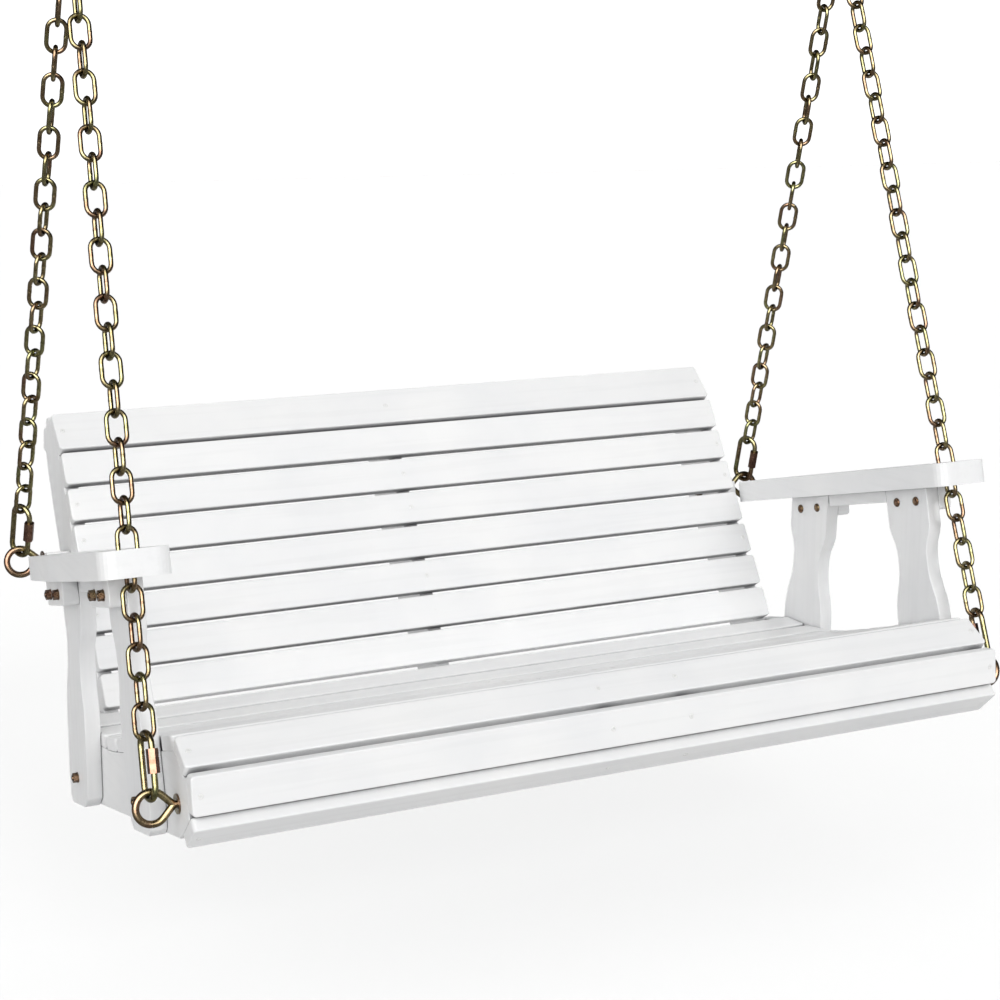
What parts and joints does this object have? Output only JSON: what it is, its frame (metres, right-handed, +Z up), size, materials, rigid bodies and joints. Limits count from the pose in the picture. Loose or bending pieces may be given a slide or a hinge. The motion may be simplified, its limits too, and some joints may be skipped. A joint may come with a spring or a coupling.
{
  "type": "porch swing",
  "caption": "Slatted wooden porch swing with rolled back and seat front, vase-shaped arm posts and wide armrests, hung on four link chains from two ceiling hook plates",
  "frame": {"origin": "middle of the swing axis, which runs through the bars of both ceiling hooks", "axes": "X along the bench, the front of the seat is -Y, Z is up; the bench hangs still, leaned back"},
  "size_m": [1.433, 0.9182, 1.4007],
  "materials": {
    "painted_wood": "white satin paint over planed softwood",
    "painted_screws": "steel wood screws painted over with the bench",
    "zinc_bolts": "yellow zinc-plated steel",
    "zinc_eyes": "yellow zinc-plated steel, bright",
    "zinc_chain": "yellow zinc-plated steel with green and pink tints",
    "zinc_sleeve": "yellow zinc-plated steel, pinkish",
    "zinc_plate": "yellow zinc-plated steel"
  },
  "bodies": {
    "ceiling": {"hook_plate_left": "zinc_plate", "hook_plate_right": "zinc_plate"},
    "swing": {"seat_frame_left": "painted_wood", "seat_frame_mid_left": "painted_wood", "seat_frame_mid_right": "painted_wood", "seat_frame_right": "painted_wood", "rear_rail": "painted_wood", "upright_left": "painted_wood", "upright_middle": "painted_wood", "upright_right": "painted_wood", "back_slat_1": "painted_wood", "back_slat_2": "painted_wood", "back_slat_3": "painted_wood", "back_slat_4": "painted_wood", "back_slat_5": "painted_wood", "back_slat_6": "painted_wood", "back_slat_7": "painted_wood", "back_slat_top": "painted_wood", "cap_slat": "painted_wood", "seat_slat_1": "painted_wood", "seat_slat_2": "painted_wood", "seat_slat_3": "painted_wood", "seat_slat_4": "painted_wood", "seat_slat_5": "painted_wood", "seat_slat_6": "painted_wood", "seat_slat_7": "painted_wood", "seat_slat_8": "painted_wood", "nose_slat": "painted_wood", "front_slat": "painted_wood", "under_slat": "painted_wood", "post_front_left": "painted_wood", "post_front_right": "painted_wood", "post_rear_left": "painted_wood", "post_rear_right": "painted_wood", "arm_blocks": "painted_wood", "arm_cleats": "painted_wood", "armrest_left": "painted_wood", "armrest_right": "painted_wood", "hanger_blocks": "painted_wood", "arm_bolts": "zinc_bolts", "arm_nuts": "zinc_bolts", "back_screws": "painted_screws", "seat_screws": "painted_screws", "eye_bolts_front": "zinc_eyes", "eye_bolts_rear": "zinc_eyes", "eye_nuts": "zinc_bolts", "quick_links": "zinc_chain", "chain_front_left": "zinc_chain", "chain_front_right": "zinc_chain", "chain_rear_left": "zinc_chain", "chain_rear_right": "zinc_chain", "top_rings": "zinc_eyes"},
    "nut_front_left": {"sleeve_front_left": "zinc_sleeve"},
    "nut_front_right": {"sleeve_front_right": "zinc_sleeve"},
    "nut_rear_left": {"sleeve_rear_left": "zinc_sleeve"},
    "nut_rear_right": {"sleeve_rear_right": "zinc_sleeve"}
  },
  "joints": [
    {"name": "swing_pivot", "type": "hinge", "parent": "ceiling", "child": "swing", "pos_m": [0, 0, 0], "axis": [1, 0, 0], "range_deg": [-25, 25]},
    {"name": "nut_front_left_slide", "type": "slide", "parent": "swing", "child": "nut_front_left", "axis": [0.0354, 0.3063, 0.9513], "range_m": [-0.015, 0.005]},
    {"name": "nut_front_right_slide", "type": "slide", "parent": "swing", "child": "nut_front_right", "axis": [-0.0354, 0.3063, 0.9513], "range_m": [-0.015, 0.005]},
    {"name": "nut_rear_left_slide", "type": "slide", "parent": "swing", "child": "nut_rear_left", "axis": [0.0467, -0.3318, 0.9422], "range_m": [-0.015, 0.005]},
    {"name": "nut_rear_right_slide", "type": "slide", "parent": "swing", "child": "nut_rear_right", "axis": [-0.0467, -0.3318, 0.9422], "range_m": [-0.015, 0.005]}
  ]
}
